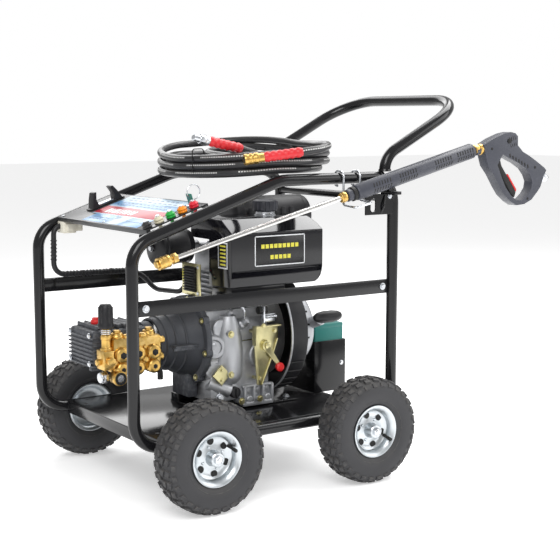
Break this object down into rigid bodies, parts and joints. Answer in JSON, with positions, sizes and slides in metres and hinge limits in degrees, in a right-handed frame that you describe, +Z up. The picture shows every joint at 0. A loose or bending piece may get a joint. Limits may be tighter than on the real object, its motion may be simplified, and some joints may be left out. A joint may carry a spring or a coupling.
{
  "type": "pressure washer",
  "caption": "Trolley pressure washer: engine and piston pump in a welded tube frame on pneumatic wheels, with push handle, control panel, lance with trigger gun and coiled hose.",
  "frame": {"origin": "on the floor under the centre of the machine's outer box, without the loose hose", "axes": "+X from the pump end to the push handle, +Y from the lance side to the other side, +Z up"},
  "size_m": [1.2511, 0.719, 0.946],
  "materials": {
    "powder_coat": "gloss black powder coat",
    "tyre_rubber": "matt block-tread rubber",
    "zinc": "bright zinc plate",
    "yellow_zinc": "yellow passivated zinc",
    "cast_aluminium": "sand-cast, bead blasted",
    "grey_casting": "dark grey painted casting",
    "black_plastic": "fine textured moulding",
    "tank_paint": "high gloss black enamel",
    "brass": "forged and machined",
    "stainless": "drawn stainless",
    "battery_case": "moulded case",
    "panel_print": "printed decal on folded sheet",
    "gun_plastic": "slate grey moulding",
    "hose_rubber": "wrapped rubber cover",
    "lock_red": "red moulding",
    "key_teal": "moulded key head",
    "tip_black": "moulded nozzle shroud",
    "tip_white": "moulded nozzle shroud",
    "tip_green": "moulded nozzle shroud",
    "tip_orange": "moulded nozzle shroud",
    "tip_red": "moulded nozzle shroud"
  },
  "bodies": {
    "machine": {"frame_loop_left": "powder_coat", "frame_loop_right": "powder_coat", "mid_rail_left": "powder_coat", "mid_rail_right": "powder_coat", "rear_cross_tube": "powder_coat", "handle_bar": "powder_coat", "base_plate": "powder_coat", "axle_front": "zinc", "axle_rear": "zinc", "engine_mount": "powder_coat", "crankcase": "cast_aluminium", "cylinder_barrel": "cast_aluminium", "rocker_cover": "cast_aluminium", "fan_shroud": "black_plastic", "recoil_cover": "zinc", "fuel_tank": "tank_paint", "air_filter": "black_plastic", "muffler": "black_plastic", "governor_plate": "yellow_zinc", "starter_motor": "grey_casting", "voltage_regulator": "zinc", "wiring_loom": "black_plastic", "battery": "battery_case", "battery_box": "powder_coat", "bell_housing": "grey_casting", "pump_crankcase": "grey_casting", "pump_manifold": "brass", "unloader_valve": "brass", "control_panel": "panel_print", "lance_clip": "black_plastic", "lance_hook": "zinc"},
    "wheel_front_left": {"tyre_front_left": "tyre_rubber", "rim_front_left": "zinc"},
    "wheel_front_right": {"tyre_front_right": "tyre_rubber", "rim_front_right": "zinc"},
    "wheel_rear_left": {"tyre_rear_left": "tyre_rubber", "rim_rear_left": "zinc"},
    "wheel_rear_right": {"tyre_rear_right": "tyre_rubber", "rim_rear_right": "zinc"},
    "crank": {"crankshaft": "stainless"},
    "recoil": {"recoil_handle": "black_plastic"},
    "cap": {"fuel_cap": "black_plastic"},
    "speed": {"speed_lever": "zinc"},
    "dipstick": {"oil_dipstick": "black_plastic"},
    "pressure": {"pressure_knob": "black_plastic"},
    "key": {"start_key": "key_teal"},
    "lance": {"lance_tube": "stainless", "lance_grip": "gun_plastic", "gun_body": "gun_plastic"},
    "coupler": {"nozzle_coupler": "brass"},
    "trigger": {"trigger": "black_plastic"},
    "lock": {"trigger_lock": "lock_red"},
    "hose": {"hose_coil": "hose_rubber", "hose_end_brass": "brass", "hose_end_chrome": "stainless"},
    "tip_black": {"nozzle_tip_black": "tip_black"},
    "tip_white": {"nozzle_tip_white": "tip_white"},
    "tip_green": {"nozzle_tip_green": "tip_green"},
    "tip_orange": {"nozzle_tip_orange": "tip_orange"},
    "tip_red": {"nozzle_tip_red": "tip_red"}
  },
  "joints": [
    {"name": "wheel_front_left_spin", "type": "hinge", "parent": "machine", "child": "wheel_front_left", "pos_m": [-0.455, -0.314, 0.13], "axis": [0, 1, 0], "continuous": true},
    {"name": "wheel_front_right_spin", "type": "hinge", "parent": "machine", "child": "wheel_front_right", "pos_m": [-0.455, 0.314, 0.13], "axis": [0, 1, 0], "continuous": true},
    {"name": "wheel_rear_left_spin", "type": "hinge", "parent": "machine", "child": "wheel_rear_left", "pos_m": [-0.003, -0.314, 0.13], "axis": [0, 1, 0], "continuous": true},
    {"name": "wheel_rear_right_spin", "type": "hinge", "parent": "machine", "child": "wheel_rear_right", "pos_m": [-0.003, 0.314, 0.13], "axis": [0, 1, 0], "continuous": true},
    {"name": "crank_spin", "type": "hinge", "parent": "machine", "child": "crank", "pos_m": [-0.26, 0.0005, 0.344], "axis": [1, 0, 0], "continuous": true},
    {"name": "recoil_pull", "type": "slide", "parent": "machine", "child": "recoil", "axis": [0, -0.9397, 0.3419], "range_m": [0, 0.4], "stiffness_N_per_m": 60, "springref_m": -0.05},
    {"name": "cap_turn", "type": "hinge", "parent": "machine", "child": "cap", "pos_m": [-0.124, -0.0475, 0.68], "axis": [0, 0, 1], "range_deg": [0, 90]},
    {"name": "speed_swing", "type": "hinge", "parent": "machine", "child": "speed", "pos_m": [-0.175, -0.1305, 0.327], "axis": [0, 1, 0], "range_deg": [0, 38]},
    {"name": "dipstick_turn", "type": "hinge", "parent": "machine", "child": "dipstick", "pos_m": [-0.253, -0.1075, 0.214], "axis": [0, 1, 0], "range_deg": [0, 720]},
    {"name": "pressure_turn", "type": "hinge", "parent": "machine", "child": "pressure", "pos_m": [-0.59, -0.0775, 0.42], "axis": [0, 0, 1], "range_deg": [-360, 360]},
    {"name": "key_turn", "type": "hinge", "parent": "machine", "child": "key", "pos_m": [-0.4209, -0.1875, 0.68812], "axis": [-0.3191, 0, 0.9477], "range_deg": [-90, 0]},
    {"name": "lance_lift", "type": "slide", "parent": "machine", "child": "lance", "axis": [0, 0, 1], "range_m": [0, 0.2]},
    {"name": "coupler_slide", "type": "slide", "parent": "lance", "child": "coupler", "axis": [0.9694, 0, 0.2453], "range_m": [0, 0.005], "stiffness_N_per_m": 900, "springref_m": -0.003},
    {"name": "trigger_pull", "type": "hinge", "parent": "lance", "child": "trigger", "pos_m": [0.4348, -0.2895, 0.79332], "axis": [0, -1, 0], "range_deg": [0, 10], "stiffness_Nm_per_rad": 3, "springref_deg": -5.73},
    {"name": "lock_flip", "type": "hinge", "parent": "trigger", "child": "lock", "pos_m": [0.50977, -0.2895, 0.69676], "axis": [0, 1, 0], "range_deg": [0, 20]},
    {"name": "hose_lift", "type": "slide", "parent": "machine", "child": "hose", "axis": [0, 0, 1], "range_m": [0, 0.3]},
    {"name": "tip_black_pull", "type": "slide", "parent": "machine", "child": "tip_black", "axis": [-0.3191, 0, 0.9477], "range_m": [0, 0.05]},
    {"name": "tip_white_pull", "type": "slide", "parent": "machine", "child": "tip_white", "axis": [-0.3191, 0, 0.9477], "range_m": [0, 0.05]},
    {"name": "tip_green_pull", "type": "slide", "parent": "machine", "child": "tip_green", "axis": [-0.3191, 0, 0.9477], "range_m": [0, 0.05]},
    {"name": "tip_orange_pull", "type": "slide", "parent": "machine", "child": "tip_orange", "axis": [-0.3191, 0, 0.9477], "range_m": [0, 0.05]},
    {"name": "tip_red_pull", "type": "slide", "parent": "machine", "child": "tip_red", "axis": [-0.3191, 0, 0.9477], "range_m": [0, 0.05]}
  ]
}
